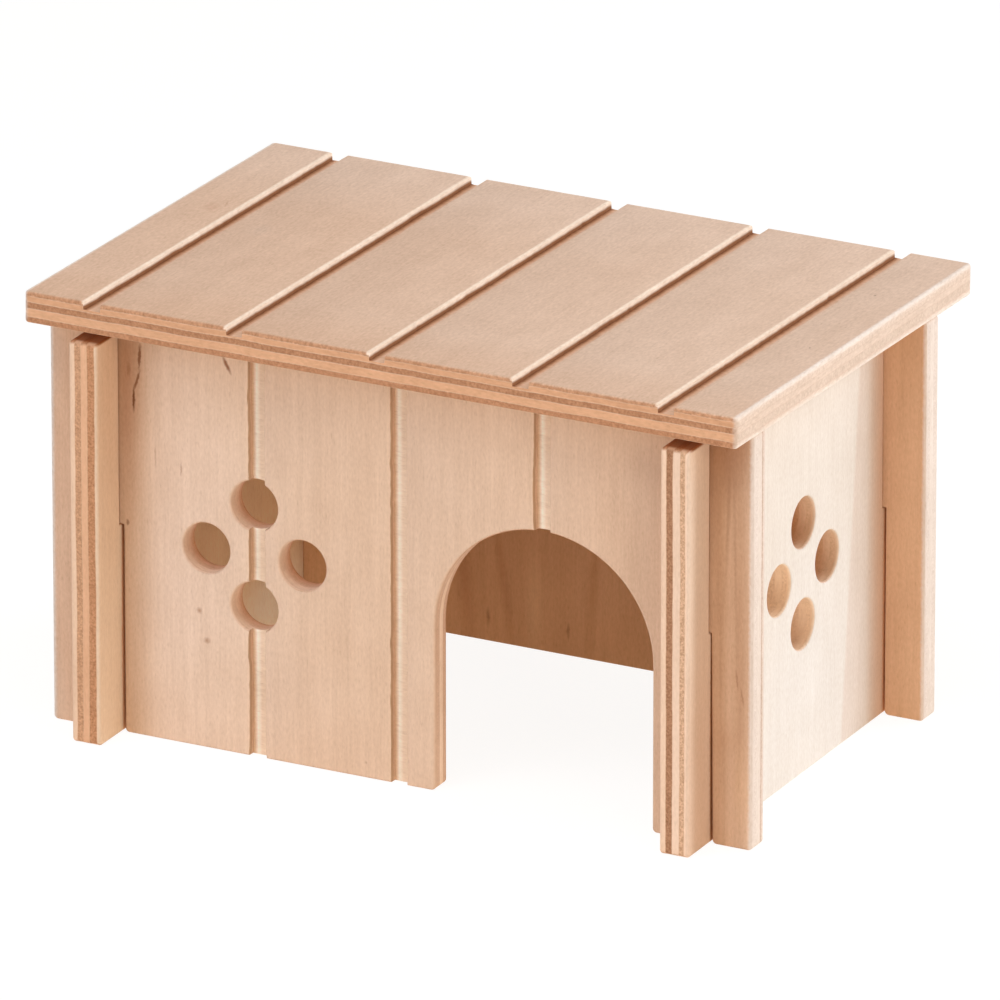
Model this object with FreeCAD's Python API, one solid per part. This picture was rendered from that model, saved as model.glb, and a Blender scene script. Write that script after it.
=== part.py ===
"""A knock-down plywood house for a hamster: four slotted walls and a lift-off roof.

The front and back panels drop over the two side panels in crossed halving joints, so that every
wall runs a little past its neighbours as an ear. The roof lies on top and is kept in place by two
cleats that hang between the side panels.

Units are millimetres. +X is to the right seen from the front, +Y points to the back, +Z is up.
The origin is the middle of the footprint at the level of the ground.
"""

import FreeCAD, Part

import math
import os

from FreeCAD import Rotation, Vector

# Walls
HOUSE_WIDTH = 130.0  # over the outer faces of the side panels
HOUSE_DEPTH = 78.5  # over the outer faces of the front and back panels
SIDE_HEIGHT = 80.7  # side and back panels
FRONT_RISE = 1.8  # how far the front panel stands above the other walls
SIDE_PLY = 6.0
FACE_PLY = 5.0  # front and back panels
EAR = 8.8  # how far each wall runs past the next one
EASED_EDGE = 0.4  # small flat sanded on every board's edges

# Halving joints between the walls
JOINT_HEIGHT = 42.0  # top of the slots in the front and back, bottom of those in the sides
SLOT_CLEARANCE = 0.3  # each side of a board in its slot

# Routed decoration
PLANK_PITCH = 30.0
GROOVE_WIDTH = 3.4
GROOVE_DEPTH = 1.7

# Doorway, with a half-round top, close to the line of the groove right of the middle
DOOR_X = 30.3
DOOR_WIDTH = 45.6
DOOR_HEIGHT = 56.0

# Ventilation holes, four to a group, close to the line of the groove left of the middle
FRONT_VENT_X = -30.6
VENT_DIAMETER = 10.0
VENT_SPREAD = 10.2  # from the middle of the group to the middle of each hole

# Roof
ROOF_PLY = 6.2
ROOF_END_OVERHANG = 0.7  # past the ears of the front and back panels
ROOF_REAR_OVERHANG = 3.9  # past the rear ears of the side panels
SEAT_CLEARANCE = 0.05  # between the roof and the edges that carry it

# Cleats under the roof, and the brads that hold them
CLEAT_WIDTH = 8.0
CLEAT_DROP = 8.0
CLEAT_CLEARANCE = 0.6  # between a cleat and the walls round it
BRAD_DIAMETER = 1.2
BRAD_LENGTH = 11.5
BRAD_HEAD_DIAMETER = 2.2
BRAD_HEAD_HEIGHT = 0.6
BRAD_CLEARANCE = 0.02
BRAD_INSET = 14.0  # from each end of a cleat

# What follows from these
FRONT_HEIGHT = SIDE_HEIGHT + FRONT_RISE
FACE_LENGTH = HOUSE_WIDTH + 2 * EAR
SIDE_LENGTH = HOUSE_DEPTH + 2 * EAR
SIDE_X = (HOUSE_WIDTH - SIDE_PLY) / 2
INNER_WIDTH = HOUSE_WIDTH - 2 * SIDE_PLY
INNER_DEPTH = HOUSE_DEPTH - 2 * FACE_PLY
VENT_HEIGHT = SIDE_HEIGHT / 2
ROOF_LENGTH = FACE_LENGTH + 2 * ROOF_END_OVERHANG
ROOF_DEPTH = SIDE_LENGTH + ROOF_REAR_OVERHANG

# The roof bears on the inner top edge of the front panel and on the rear ends of the side panels,
# so it falls a little towards the back.
ROOF_FALL = math.atan2(FRONT_RISE, EAR + HOUSE_DEPTH - FACE_PLY)

# The rear ends of the side panels lie where the whole house is centred on the origin.
ROOF_REACH = ROOF_REAR_OVERHANG * math.cos(ROOF_FALL) + ROOF_PLY * math.sin(ROOF_FALL)
SIDE_REAR_Y = (SIDE_LENGTH - ROOF_REACH) / 2
HOUSE_Y = SIDE_REAR_Y - SIDE_LENGTH / 2
FRONT_Y = HOUSE_Y - (HOUSE_DEPTH - FACE_PLY) / 2
BACK_Y = HOUSE_Y + (HOUSE_DEPTH - FACE_PLY) / 2

OVERCUT = 1.0  # how far a cutting shape runs past the surface it cuts


def block(size_x, size_y, size_z, centre_x, centre_y, bottom):
    """A square-edged box standing on the level bottom."""
    corner = Vector(centre_x - size_x / 2, centre_y - size_y / 2, bottom)
    return Part.makeBox(size_x, size_y, size_z, corner)


def board(size_x, size_y, size_z, centre_x, centre_y, bottom):
    """A sawn board with all its edges eased."""
    sawn = block(size_x, size_y, size_z, centre_x, centre_y, bottom)
    return sawn.makeChamfer(EASED_EDGE, sawn.Edges)


def centred_steps(half_span, pitch):
    """Places a pitch apart, counted both ways from the middle, that lie inside the half span."""
    count = int(half_span / pitch)
    return [step * pitch for step in range(-count, count + 1)]


def vents(centre_x, centre_y, along):
    """Four drills in a diamond, through a wall whose width runs along the given direction."""
    across = Vector(0, 0, 1).cross(along)
    reach = FACE_PLY + SIDE_PLY
    drills = []
    for sideways, upwards in ((-1, 0), (1, 0), (0, -1), (0, 1)):
        middle = Vector(centre_x, centre_y, VENT_HEIGHT + upwards * VENT_SPREAD)
        middle += along * (sideways * VENT_SPREAD)
        start = middle - across * (reach / 2)
        drills.append(Part.makeCylinder(VENT_DIAMETER / 2, reach, start, across))
    return drills


def doorway(centre_y):
    """The cut for the doorway: straight sides under a half-round arch."""
    radius = DOOR_WIDTH / 2
    depth = FACE_PLY + 2 * OVERCUT
    spring = DOOR_HEIGHT - radius
    start = Vector(DOOR_X, centre_y - depth / 2, spring)
    arch = Part.makeCylinder(radius, depth, start, Vector(0, 1, 0))
    opening = block(DOOR_WIDTH, depth, spring + OVERCUT, DOOR_X, centre_y, -OVERCUT)
    return opening.fuse(arch)


def face_slots(centre_y):
    """Slots from below in a front or back panel, one for each side panel."""
    width = SIDE_PLY + 2 * SLOT_CLEARANCE
    depth = FACE_PLY + 2 * OVERCUT
    height = JOINT_HEIGHT + OVERCUT
    return [block(width, depth, height, side * SIDE_X, centre_y, -OVERCUT) for side in (-1, 1)]


def side_slots(centre_x):
    """Slots from above in a side panel, one for the front panel and one for the back."""
    width = SIDE_PLY + 2 * OVERCUT
    depth = FACE_PLY + 2 * SLOT_CLEARANCE
    height = SIDE_HEIGHT - JOINT_HEIGHT + OVERCUT
    return [block(width, depth, height, centre_x, y, JOINT_HEIGHT) for y in (FRONT_Y, BACK_Y)]


def face_grooves(outer_y, height):
    """Upright grooves in the outer face of a front or back panel."""
    length = height + 2 * OVERCUT
    places = centred_steps(INNER_WIDTH / 2 - GROOVE_WIDTH, PLANK_PITCH)
    return [block(GROOVE_WIDTH, 2 * GROOVE_DEPTH, length, x, outer_y, -OVERCUT) for x in places]


def front_panel():
    """The wall with the doorway, the vents and the grooves."""
    panel = board(FACE_LENGTH, FACE_PLY, FRONT_HEIGHT, 0, FRONT_Y, 0)
    cuts = face_slots(FRONT_Y)
    cuts += face_grooves(FRONT_Y - FACE_PLY / 2, FRONT_HEIGHT)
    cuts += vents(FRONT_VENT_X, FRONT_Y, Vector(1, 0, 0))
    cuts.append(doorway(FRONT_Y))
    return panel.cut(cuts)


def back_panel():
    """The plain rear wall, grooved on the outside."""
    panel = board(FACE_LENGTH, FACE_PLY, SIDE_HEIGHT, 0, BACK_Y, 0)
    cuts = face_slots(BACK_Y)
    cuts += face_grooves(BACK_Y + FACE_PLY / 2, SIDE_HEIGHT)
    return panel.cut(cuts)


def side_panel(centre_x, drills):
    """A side wall, slotted from above and drilled."""
    panel = board(SIDE_PLY, SIDE_LENGTH, SIDE_HEIGHT, centre_x, HOUSE_Y, 0)
    return panel.cut(side_slots(centre_x) + drills)


def on_roof_slope(shape):
    """Moves a shape made flat on the level of the roof's underside, with the rear ends of the side
    panels at Y 0, onto the slope and the seat of the roof."""
    slope = Rotation(Vector(1, 0, 0), -math.degrees(ROOF_FALL))
    seat = Vector(0, SIDE_REAR_Y, SIDE_HEIGHT + SEAT_CLEARANCE)
    shape.Placement = FreeCAD.Placement(seat, slope)
    return shape


def cleat_middle_y():
    """Where the cleats' middle lies, measured forward from the rear ends of the side panels."""
    return -SIDE_LENGTH / 2


def cleat_x(side):
    """The middle line of the cleat on the given side."""
    return side * (INNER_WIDTH / 2 - CLEAT_CLEARANCE - CLEAT_WIDTH / 2)


def brad_places():
    """The middle of every brad, as X and Y on the roof's underside."""
    reach = INNER_DEPTH / 2 - CLEAT_CLEARANCE - BRAD_INSET
    return [(cleat_x(side), cleat_middle_y() + end * reach) for side in (-1, 1) for end in (-1, 1)]


def brad(x, y, gap):
    """One brad driven upwards, with its head let into the cleat, widened by the gap all round."""
    head_bottom = Vector(x, y, -CLEAT_DROP)
    shank = Part.makeCylinder(BRAD_DIAMETER / 2 + gap, BRAD_LENGTH + gap, head_bottom)
    head = Part.makeCylinder(BRAD_HEAD_DIAMETER / 2 + gap, BRAD_HEAD_HEIGHT + gap, head_bottom)
    return shank.fuse(head).removeSplitter()


def brad_holes():
    """The holes that the brads make in the cleats and the roof."""
    return [brad(x, y, BRAD_CLEARANCE) for x, y in brad_places()]


def roof_panel():
    """The roof, grooved from front to back so that it looks like planks."""
    middle_y = (ROOF_REAR_OVERHANG - SIDE_LENGTH) / 2
    panel = board(ROOF_LENGTH, ROOF_DEPTH, ROOF_PLY, 0, middle_y, 0)
    cuts = brad_holes()
    length = ROOF_DEPTH + 2 * OVERCUT
    height = GROOVE_DEPTH + OVERCUT
    for x in centred_steps(ROOF_LENGTH / 2 - GROOVE_WIDTH, PLANK_PITCH):
        cuts.append(block(GROOVE_WIDTH, length, height, x, middle_y, ROOF_PLY - GROOVE_DEPTH))
    return on_roof_slope(panel.cut(cuts))


def roof_cleat(side):
    """A strip under the roof that hangs just inside a side panel and keeps the roof from sliding."""
    length = INNER_DEPTH - 2 * CLEAT_CLEARANCE
    strip = board(CLEAT_WIDTH, length, CLEAT_DROP, cleat_x(side), cleat_middle_y(), -CLEAT_DROP)
    return on_roof_slope(strip.cut(brad_holes()))


def cleat_brads():
    """All the brads, as separate solids."""
    return on_roof_slope(Part.makeCompound([brad(x, y, 0) for x, y in brad_places()]))


def main():
    """Builds every piece and writes one file for each."""
    os.makedirs("parts", exist_ok=True)
    pieces = {
        "front_panel": front_panel(),
        "back_panel": back_panel(),
        "left_side_panel": side_panel(-SIDE_X, []),
        "right_side_panel": side_panel(SIDE_X, vents(SIDE_X, HOUSE_Y, Vector(0, 1, 0))),
        "roof_panel": roof_panel(),
        "left_roof_cleat": roof_cleat(-1),
        "right_roof_cleat": roof_cleat(1),
        "cleat_brads": cleat_brads(),
    }
    for name, shape in pieces.items():
        shape.exportStep(f"parts/{name}.step")
        print(f"{name}: {len(shape.Solids)} solids, valid {shape.isValid()}, {shape.Volume:.1f} mm3")
        print(f"   {shape.BoundBox}")


main()
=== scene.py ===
"""Dresses a knock-down plywood hamster house: four slotted walls under a lift-off roof.

Board sizes, grain and marks are in millimetres. Meshes, lamps and the camera are in metres. +X is
to the right seen from the front, +Y points to the back and +Z is up.
"""

import logging
import math
from dataclasses import dataclass, replace
from enum import Enum

import bpy
import numpy as np
from mathutils import Matrix, Vector
from mathutils.geometry import delaunay_2d_cdt


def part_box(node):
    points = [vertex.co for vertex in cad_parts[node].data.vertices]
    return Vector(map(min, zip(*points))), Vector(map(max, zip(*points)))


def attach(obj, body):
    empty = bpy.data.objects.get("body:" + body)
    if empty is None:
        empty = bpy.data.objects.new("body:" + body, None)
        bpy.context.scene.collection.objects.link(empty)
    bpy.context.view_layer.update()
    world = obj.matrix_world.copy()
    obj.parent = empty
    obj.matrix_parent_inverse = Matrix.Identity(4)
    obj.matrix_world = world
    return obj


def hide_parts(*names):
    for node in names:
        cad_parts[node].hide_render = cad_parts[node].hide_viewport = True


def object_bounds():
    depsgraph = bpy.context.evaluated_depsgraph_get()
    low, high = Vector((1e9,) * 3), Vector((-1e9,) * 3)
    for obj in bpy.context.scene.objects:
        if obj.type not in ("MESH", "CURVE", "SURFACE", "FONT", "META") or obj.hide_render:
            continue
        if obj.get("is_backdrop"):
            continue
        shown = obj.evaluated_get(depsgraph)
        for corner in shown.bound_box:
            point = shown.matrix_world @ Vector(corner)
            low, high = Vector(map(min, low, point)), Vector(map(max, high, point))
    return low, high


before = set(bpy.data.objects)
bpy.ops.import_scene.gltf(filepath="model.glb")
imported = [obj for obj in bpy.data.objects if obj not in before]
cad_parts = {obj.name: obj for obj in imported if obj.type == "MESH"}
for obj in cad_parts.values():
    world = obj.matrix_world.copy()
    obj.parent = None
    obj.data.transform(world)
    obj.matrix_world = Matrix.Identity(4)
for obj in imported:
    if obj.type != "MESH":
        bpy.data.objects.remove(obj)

LOG = logging.getLogger("hamster_house")
MM = 0.001
IMAGE_WIDTH = 1000.0  # the picture is square
GROOVE_PITCH = 30.0  # the boards' grooves lie at whole multiples of this
GROOVE_SEEDS = 3  # random fields that each groove uses, and so the step from its seed to the next one's
ROUNDING = 1e-6  # keeps a side of exactly one step whole
WELD = 1e-4  # points of a plan that lie nearer than this are one
SQUARE_TURN = 0.9  # sine of a turn past which a corner counts as square

Colour = tuple[float, float, float, float]


class Body(Enum):
    """The bodies that a piece can ride on."""

    WALLS = "walls"
    ROOF = "roof"


class Slot(Enum):
    """The record's material slots."""

    WALL_PLYWOOD = "wall_plywood"
    ROOF_PLYWOOD = "roof_plywood"
    CLEAT_PINE = "cleat_pine"
    BRAD_STEEL = "brad_steel"


def linear(colour: str) -> Colour:
    """Turns an sRGB colour written as #RRGGBB into linear light.

    Args:
        colour: The colour, such as "#E3C1A6".
    Returns:
        Red, green and blue in linear light, and an alpha of 1.
    """
    code = np.array([int(colour[i:i + 2], 16) for i in (1, 3, 5)]) / 255
    light = np.where(code <= 0.04045, code / 12.92, ((code + 0.055) / 1.055) ** 2.4)
    return (*light.tolist(), 1.0)


# ---------------------------------------------------------------------------------------------
# Shapes in a board's plan
# ---------------------------------------------------------------------------------------------


def unit(vectors: np.ndarray) -> np.ndarray:
    """Each row divided by its own length."""
    return vectors / np.linalg.norm(vectors, axis=-1, keepdims=True)


def divided(loop: np.ndarray, step: float) -> np.ndarray:
    """Cuts each side of a closed loop into equal lengths no longer than the step.

    A side from a to b gives the points a + (b - a) k / n, for k from 0 to n - 1.

    Args:
        loop: The corners, one row each.
        step: The longest length that is left whole.
    Returns:
        The corners with the new points between them.
    """
    sides = np.roll(loop, -1, axis=0) - loop
    counts = np.ceil(np.linalg.norm(sides, axis=1) / step - ROUNDING).astype(int)
    side = np.repeat(np.arange(len(loop)), counts)
    first = np.repeat(np.cumsum(counts) - counts, counts)
    share = (np.arange(counts.sum()) - first) / counts[side]
    return loop[side] + share[:, None] * sides[side]


def inset(loop: np.ndarray, distance: float) -> np.ndarray:
    """Moves a closed loop to its left, keeping its corners mitred.

    Each point goes along the sum of the normals of its two sides, divided by one plus their dot
    product, times the distance.

    Args:
        loop: The points, one row each, with the wood on the left.
        distance: How far each side moves.
    Returns:
        The moved points.
    """
    sides = unit(np.roll(loop, -1, axis=0) - loop)
    normals = np.column_stack((-sides[:, 1], sides[:, 0]))
    before = np.roll(normals, 1, axis=0)
    mitre = (before + normals) / (1 + (before * normals).sum(axis=1))[:, None]
    return loop + distance * mitre


def rounded(loop: np.ndarray, radius: float, steps: int = 4) -> np.ndarray:
    """Turns each square outer corner of a loop into a quarter circle.

    With a and b the directions into and out of corner p, the arc is
    p - R a + R (a sin t + b (1 - cos t)), for t from 0 to a quarter turn.

    Args:
        loop: The corners of a closed loop, the wood on its left.
        radius: R.
        steps: Chords in each quarter circle.
    Returns:
        The loop with its corners rounded.
    """
    into = unit(loop - np.roll(loop, 1, axis=0))
    out_of = unit(np.roll(loop, -1, axis=0) - loop)
    turn = into[:, 0] * out_of[:, 1] - into[:, 1] * out_of[:, 0]
    t = np.linspace(0, math.pi / 2, steps + 1)[:, None]
    arcs = (loop - radius * into)[:, None] + radius * (
        into[:, None] * np.sin(t) + out_of[:, None] * (1 - np.cos(t))
    )
    return np.concatenate([arcs[i] if turn[i] > SQUARE_TURN else loop[i:i + 1] for i in range(len(loop))])


def rim_distance(points: np.ndarray, starts: np.ndarray, ends: np.ndarray) -> np.ndarray:
    """Shortest distance from each point to a set of straight rim pieces.

    Args:
        points: One row each.
        starts: Where each rim piece starts.
        ends: Where it ends.
    Returns:
        One distance for each point.
    """
    along = ends - starts
    offset = points[:, None] - starts
    share = np.clip((offset * along).sum(axis=-1) / (along ** 2).sum(axis=-1), 0, 1)
    return np.linalg.norm(offset - share[..., None] * along, axis=-1).min(axis=1)


def in_wood(points: np.ndarray, starts: np.ndarray, ends: np.ndarray) -> np.ndarray:
    """Tells which points are in the wood: a line to the right of them crosses the rims an odd number
    of times.

    Args:
        points: One row each.
        starts: Where each rim piece starts.
        ends: Where it ends.
    Returns:
        True or False for each point.
    """
    u, v = points[:, :1], points[:, 1:]
    crosses = (starts[:, 1] > v) != (ends[:, 1] > v)
    rise = ends[:, 1] - starts[:, 1]
    slope = (ends[:, 0] - starts[:, 0]) / np.where(rise == 0, 1, rise)
    to_the_right = u < starts[:, 0] + slope * (v - starts[:, 1])
    return (crosses & to_the_right).sum(axis=1) % 2 == 1


def roughness_field(u: np.ndarray, v: np.ndarray, cell: tuple[float, float], seed: int) -> np.ndarray:
    """Smooth unevenness: random heights on a grid of cells, with straight lines between them.

    Args:
        u: First coordinate of each point.
        v: Second coordinate of each point.
        cell: The cell's size along each.
        seed: Picks the heights.
    Returns:
        A height from -1 to 1 for each point.
    """
    side = 256
    heights = np.random.default_rng(seed).uniform(-1, 1, (side, side))
    a, b = u / cell[0], v / cell[1]
    i, j = np.floor(a).astype(int), np.floor(b).astype(int)
    s, t = a - i, b - j
    near, far = (
        heights[k % side, j % side] * (1 - t) + heights[k % side, (j + 1) % side] * t for k in (i, i + 1)
    )
    return near * (1 - s) + far * s


@dataclass(frozen=True)
class Notch:
    """A slot sawn in from an edge of a board. An arched one ends in a half circle."""

    centre: float
    width: float
    depth: float
    arched: bool = False
    lean: float = 0.0  # how far its end lies to the left of its mouth

    def corners(self, edge: float, inward: int, steps: int = 48) -> np.ndarray:
        """The notch walked from its left lip to its right one.

        Args:
            edge: The level of the board's edge.
            inward: 1 if the wood lies above the edge, -1 if below.
            steps: Chords in a half circle.
        Returns:
            Its corners, one row each.
        """
        half = self.width / 2
        sideways, depth = np.array([-1.0, 1.0]) - self.lean / half, np.array([self.depth, self.depth])
        if self.arched:
            angle = np.linspace(math.pi, 0, steps + 1)
            sideways, depth = np.cos(angle), self.depth - half + half * np.sin(angle)
        sideways = np.concatenate(([-1.0], sideways, [1.0]))
        depth = np.concatenate(([0.0], depth, [0.0]))
        return np.column_stack((self.centre + half * sideways, edge + inward * depth))


@dataclass(frozen=True)
class Hole:
    """A drilled hole."""

    u: float
    v: float
    radius: float
    pale: float = 0.0  # how far its wall takes the pale colour, from 0 to 1
    near: float = 0.1  # what lies this near its wall is on the wall

    def reaches(self, plan: np.ndarray) -> np.ndarray:
        """Tells which points of the plan lie on the hole's wall."""
        return np.linalg.norm(plan - (self.u, self.v), axis=1) < self.radius + self.near


@dataclass(frozen=True)
class Groove:
    """An upright routed groove, with a lip that the cutter has frayed and a rough floor."""

    centre: float
    width: float
    depth: float
    seed: int
    lip: float = 0.14  # width of the worn lip
    lip_drop: float = 0.14
    lean: float = 0.07  # how far a side leans over its height
    flat_lip: float = 0.25  # the share of the lip that falls steeply
    flat_drop: float = 0.35  # the share of the drop that is left there
    fray: float = 0.07  # how far the side wanders
    fray_cell: tuple[float, float] = (1.3, 7.0)
    splinter: float = 0.45  # how far a splinter has torn out
    splinter_from: float = 0.45  # the height of the random field past which one has
    splinter_cell: tuple[float, float] = (4.0, 7.0)
    furrow: float = 0.16  # roughness of the floor
    furrow_cell: tuple[float, float] = (1.9, 0.45)
    far_side: float = 40.0  # moves the right side to another part of the random field
    floor_lines: tuple[float, ...] = (-0.3, -0.1, 0.1, 0.3)  # shares of the width

    def half_width(self, right: np.ndarray, v: np.ndarray) -> np.ndarray:
        """From the middle to a side, which wanders by the fray.

        Args:
            right: True for the right side.
            v: Place along the groove.
        Returns:
            The half width at each place.
        """
        side = np.where(right, self.far_side, 0.0)
        wander = roughness_field(v, side, self.fray_cell, self.seed)
        splinter = roughness_field(v, side, self.splinter_cell, self.seed + 1) - self.splinter_from
        return self.width / 2 + self.fray * wander + self.splinter * np.clip(splinter, 0, 1)

    def cut(self, points: np.ndarray) -> np.ndarray:
        """How deep the groove is at each point.

        With s the distance outwards from the side, the depth falls from the floor's at s = -lean
        to the lip's at 0 and to nothing at the lip's width.

        Args:
            points: One row each, in the board's plan.
        Returns:
            The depths.
        """
        across = points[:, 0] - self.centre
        s = np.abs(across) - self.half_width(across > 0, points[:, 1])
        floor = self.depth - self.furrow * (
            0.5 + 0.5 * roughness_field(points[:, 0], points[:, 1], self.furrow_cell, self.seed + 2)
        )
        fall = np.interp(s, (-self.lean, 0), (1, 0))
        worn = np.interp(s, (0, self.flat_lip * self.lip, self.lip), (1, self.flat_drop, 0)) * self.lip_drop
        return worn + fall * (floor - self.lip_drop)

    def lines(self, low: float, high: float, step: float) -> list[np.ndarray]:
        """The lines along which the groove's section bends.

        Args:
            low: Where the lines start.
            high: Where they end.
            step: Length between their points.
        Returns:
            The lines, as arrays of points.
        """
        v = np.linspace(low, high, math.ceil((high - low) / step) + 1)
        middles = [self.centre + share * self.width for share in self.floor_lines]
        lines = [np.column_stack((np.full(len(v), u), v)) for u in middles]
        for side in (-1, 1):
            half = self.half_width(np.full(len(v), side > 0), v)
            for s in (-self.lean, 0, self.flat_lip * self.lip, self.lip):
                lines.append(np.column_stack((self.centre + side * (half + s), v)))
        return lines


@dataclass(frozen=True)
class Plan:
    """A board's plan cut into triangles, with what each corner needs to be lifted off it."""

    points: np.ndarray
    triangles: np.ndarray
    rim_edges: np.ndarray
    rim_distance: np.ndarray


def triangulated(
    rims: list[np.ndarray], bends: list[np.ndarray], rings: tuple[float, ...], step: float
) -> Plan:
    """Cuts a plan into triangles that follow its rims, rings inside them and the lines where it bends.

    Args:
        rims: The outline and the holes, with the wood on their left.
        bends: Open lines.
        rings: How far inside the rims rings are drawn.
        step: The longest side along a rim.
    Returns:
        The plan.
    """
    divided_rims = [divided(rim, step) for rim in rims]
    loops = [inset(rim, distance) for rim in divided_rims for distance in (0.0, *rings)]
    starts = np.concatenate(rims)
    ends = np.concatenate([np.roll(rim, -1, axis=0) for rim in rims])
    edges, first = [], 0
    for chain, closed in [(loop, True) for loop in loops] + [(line, False) for line in bends]:
        index = first + np.arange(len(chain))
        pairs = np.column_stack((index, np.roll(index, -1)))
        edges.append(pairs if closed else pairs[:-1])
        first += len(chain)
    corners = np.concatenate(loops + bends)
    found = delaunay_2d_cdt(
        [Vector(p) for p in corners.tolist()], np.concatenate(edges).tolist(), [], 0, WELD, False
    )
    points, triangles = np.array([tuple(p) for p in found[0]]), np.array(found[2])
    a, b, c = (points[triangles[:, k]] for k in range(3))
    double_area = (b - a)[:, 0] * (c - a)[:, 1] - (b - a)[:, 1] * (c - a)[:, 0]
    triangles[double_area < 0] = triangles[double_area < 0][:, ::-1]
    triangles = triangles[in_wood((a + b + c) / 3, starts, ends)]
    used, triangles = np.unique(triangles, return_inverse=True)
    points, triangles = points[used], triangles.reshape(-1, 3)
    directed = np.concatenate([triangles[:, (0, 1)], triangles[:, (1, 2)], triangles[:, (2, 0)]])
    code, reverse = directed @ (len(points), 1), directed @ (1, len(points))
    return Plan(points, triangles, directed[~np.isin(code, reverse)], rim_distance(points, starts, ends))


# ---------------------------------------------------------------------------------------------
# Boards
# ---------------------------------------------------------------------------------------------


@dataclass(frozen=True)
class Placement:
    """How a board stands in the house: U and V run along its outer face and W points out of it."""

    u: Vector
    v: Vector
    low: Vector  # its lowest U, V and W in the house, in millimetres
    high: Vector

    @classmethod
    def of_node(cls, node: str, u: Vector, v: Vector) -> "Placement":
        """Measures a node of the frame along the given directions."""
        lowest, highest = measured(node, u, v)
        return cls(u, v, lowest, highest)

    @property
    def axes(self) -> Matrix:
        """U, V and W as the rows of a matrix, which turns house directions into the board's."""
        return Matrix((self.u, self.v, self.u.cross(self.v)))

    @property
    def ply(self) -> float:
        """The board's thickness."""
        return self.high.z - self.low.z

    @property
    def middle(self) -> float:
        """The middle of the board's width."""
        return (self.low.x + self.high.x) / 2

    def lifted(self, plan: np.ndarray, depth: np.ndarray) -> np.ndarray:
        """Where points of the plan, at depths below the outer face, lie in the house, in metres."""
        board = np.column_stack((plan, self.high.z - depth))
        return board @ np.array(self.axes) * MM


def measured(node: str, u: Vector, v: Vector) -> tuple[Vector, Vector]:
    """The span of a node of the frame along U, V and their cross product, in millimetres.

    Args:
        node: The node's name.
        u: The first direction.
        v: The second.
    Returns:
        The lowest and the highest value along each.
    """
    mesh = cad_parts[node].data
    place = np.empty(3 * len(mesh.vertices))
    mesh.vertices.foreach_get("co", place)
    along = place.reshape(-1, 3) @ np.array([u, v, u.cross(v)]).T / MM
    return Vector(along.min(axis=0)), Vector(along.max(axis=0))


def shown_mesh(name: str, points: np.ndarray, faces: list[np.ndarray], crease: float) -> bpy.types.Object:
    """Makes an object from arrays of points and faces, smooth but for its creases.

    Args:
        name: The piece's name.
        points: X, Y and Z in metres.
        faces: Arrays of faces, each with one number of corners.
        crease: The angle past which an edge stays sharp, in degrees.
    Returns:
        The object, in the scene.
    """
    mesh = bpy.data.meshes.new(name)
    corners = np.concatenate([f.ravel() for f in faces])
    sizes = np.concatenate([np.full(len(f), f.shape[1]) for f in faces])
    mesh.vertices.add(len(points))
    mesh.vertices.foreach_set("co", points.ravel())
    mesh.loops.add(len(corners))
    mesh.loops.foreach_set("vertex_index", corners)
    mesh.polygons.add(len(sizes))
    mesh.polygons.foreach_set("loop_start", np.cumsum(sizes) - sizes)
    mesh.polygons.foreach_set("use_smooth", np.ones(len(sizes), bool))
    mesh.update(calc_edges=True)
    mesh.set_sharp_from_angle(angle=math.radians(crease))
    shown = bpy.data.objects.new(name, mesh)
    bpy.context.scene.collection.objects.link(shown)
    return shown


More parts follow.
